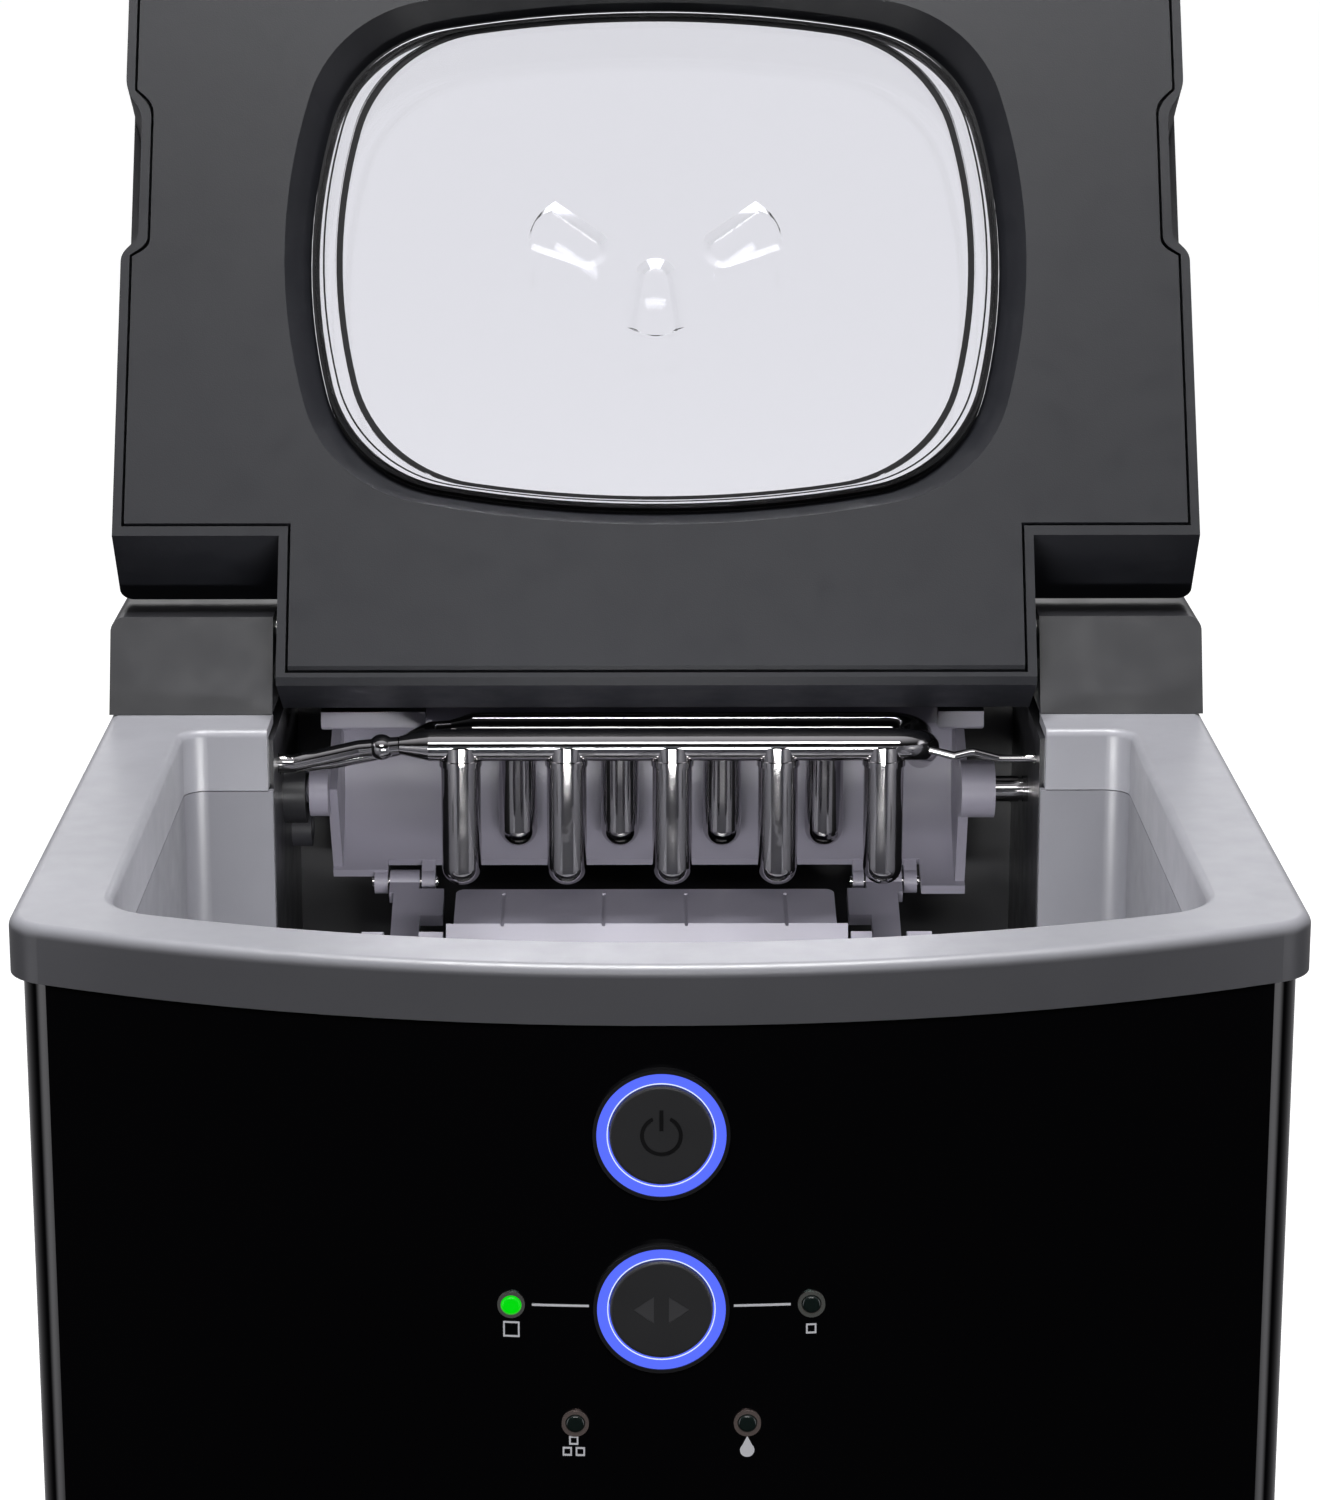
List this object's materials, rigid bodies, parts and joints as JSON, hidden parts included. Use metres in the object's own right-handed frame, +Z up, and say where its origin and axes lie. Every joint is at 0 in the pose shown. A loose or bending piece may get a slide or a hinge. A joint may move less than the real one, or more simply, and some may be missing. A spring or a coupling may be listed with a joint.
{
  "type": "countertop ice maker",
  "caption": "Countertop bullet-ice maker with a bowed gloss-black front, grey collar, blue-ringed buttons and an open lid over nickel freezing fingers and a tilting tray.",
  "frame": {"origin": "on the floor under the middle of the footprint", "axes": "+Z up, -Y towards the bowed front, +X to the right seen from the front"},
  "size_m": [0.242, 0.358, 0.506],
  "materials": {
    "casing_black": "gloss",
    "collar_grey": "satin",
    "cover_charcoal": "satin",
    "lid_charcoal": "matte",
    "bin_grey": "satin",
    "housing_black": "satin",
    "tray_grey": "satin",
    "clear_plastic": "gloss",
    "gasket_black": "matte",
    "foot_rubber": "matte",
    "foam": "matte",
    "basket_grey": "satin",
    "nickel": "polished",
    "steel": "satin",
    "compressor_paint": "gloss",
    "copper_pipe": "satin",
    "brass": "satin",
    "fin_aluminium": "satin",
    "base_plastic": "matte",
    "board_green": "satin",
    "component_black": "satin",
    "motor_white": "satin",
    "fan_plastic": "satin",
    "button_cap": "satin",
    "ring_blue": "gloss",
    "bezel_dark": "gloss",
    "led_green": "gloss",
    "led_dark": "gloss",
    "print_white": "matte"
  },
  "bodies": {
    "chassis": {"base_pan": "base_plastic", "rubber_feet": "foot_rubber", "front_casing": "casing_black", "rear_panel": "base_plastic", "case_screws": "steel", "top_collar": "collar_grey", "rear_top_cover": "cover_charcoal", "hinge_pins": "steel", "ice_bin_liner": "bin_grey", "evaporator_housing": "housing_black", "water_tank": "housing_black", "insulation": "foam", "drain_fitting": "base_plastic", "evaporator_bar": "nickel", "evaporator_fingers": "nickel", "evaporator_inlets": "nickel", "capillary_tube": "nickel", "gear_motor": "steel", "water_pump": "component_black", "pump_filter": "motor_white", "pump_hose": "component_black", "ice_sensors": "component_black", "level_probes": "component_black", "compressor": "compressor_paint", "compressor_mounts": "foot_rubber", "terminal_cover": "component_black", "condenser_fins": "fin_aluminium", "condenser_coil": "copper_pipe", "fan_shroud": "fan_plastic", "fan_motor": "motor_white", "filter_drier": "copper_pipe", "hot_gas_valve": "brass", "valve_coil": "component_black", "refrigerant_lines": "copper_pipe", "main_board": "board_green", "board_parts": "component_black", "power_inlet": "component_black", "control_board": "board_green", "board_bracket": "base_plastic", "tact_switches": "component_black", "button_bezels": "bezel_dark", "light_rings": "ring_blue", "led_bezels": "bezel_dark", "lit_led": "led_green", "dark_leds": "led_dark", "panel_markings": "print_white"},
    "lid": {"lid_outer_shell": "lid_charcoal", "lid_inner_panel": "lid_charcoal", "window_pane_inner": "clear_plastic", "window_pane_outer": "clear_plastic", "window_gasket": "gasket_black"},
    "tray": {"water_tray": "tray_grey", "tray_pins": "nickel"},
    "links": {"link_arms": "tray_grey"},
    "shovel": {"ice_shovel": "tray_grey"},
    "basket": {"ice_basket": "basket_grey"},
    "fan": {"fan_blade": "fan_plastic"},
    "drain_plug": {"drain_cap": "base_plastic"},
    "power_key": {"power_button": "button_cap"},
    "select_key": {"select_button": "button_cap"}
  },
  "joints": [
    {"name": "lid_hinge", "type": "hinge", "parent": "chassis", "child": "lid", "pos_m": [0, 0.0216, 0.3238], "axis": [1, 0, 0], "range_deg": [0, 119]},
    {"name": "tray_tilt", "type": "hinge", "parent": "chassis", "child": "tray", "pos_m": [0, 0.023, 0.2859], "axis": [1, 0, 0], "range_deg": [-78, 0]},
    {"name": "link_swing", "type": "hinge", "parent": "tray", "child": "links", "pos_m": [0, 0.03735, 0.26001], "axis": [1, 0, 0], "range_deg": [0, 115.5]},
    {"name": "shovel_swing", "type": "hinge", "parent": "chassis", "child": "shovel", "pos_m": [0, 0.017, 0.2155], "axis": [1, 0, 0], "range_deg": [0, 42.89]},
    {"name": "basket_lift", "type": "slide", "parent": "chassis", "child": "basket", "axis": [0, 0, 1], "range_m": [0, 0.06]},
    {"name": "fan_spin", "type": "hinge", "parent": "chassis", "child": "fan", "pos_m": [-0.0575, 0.122, 0.094], "axis": [1, 0, 0], "continuous": true},
    {"name": "drain_cap_release", "type": "slide", "parent": "chassis", "child": "drain_plug", "axis": [0, 0, -1], "range_m": [0, 0.003]},
    {"name": "power_button_press", "type": "slide", "parent": "chassis", "child": "power_key", "axis": [0, 1, 0], "range_m": [0, 0.001], "stiffness_N_per_m": 800, "springref_m": -0.0005},
    {"name": "select_button_press", "type": "slide", "parent": "chassis", "child": "select_key", "axis": [0, 1, 0], "range_m": [0, 0.001], "stiffness_N_per_m": 800, "springref_m": -0.0005}
  ],
  "couplings": [
    {"joint": "link_swing", "follows": "tray_tilt", "ratio": -1.4807},
    {"joint": "shovel_swing", "follows": "tray_tilt", "ratio": -0.5499}
  ]
}
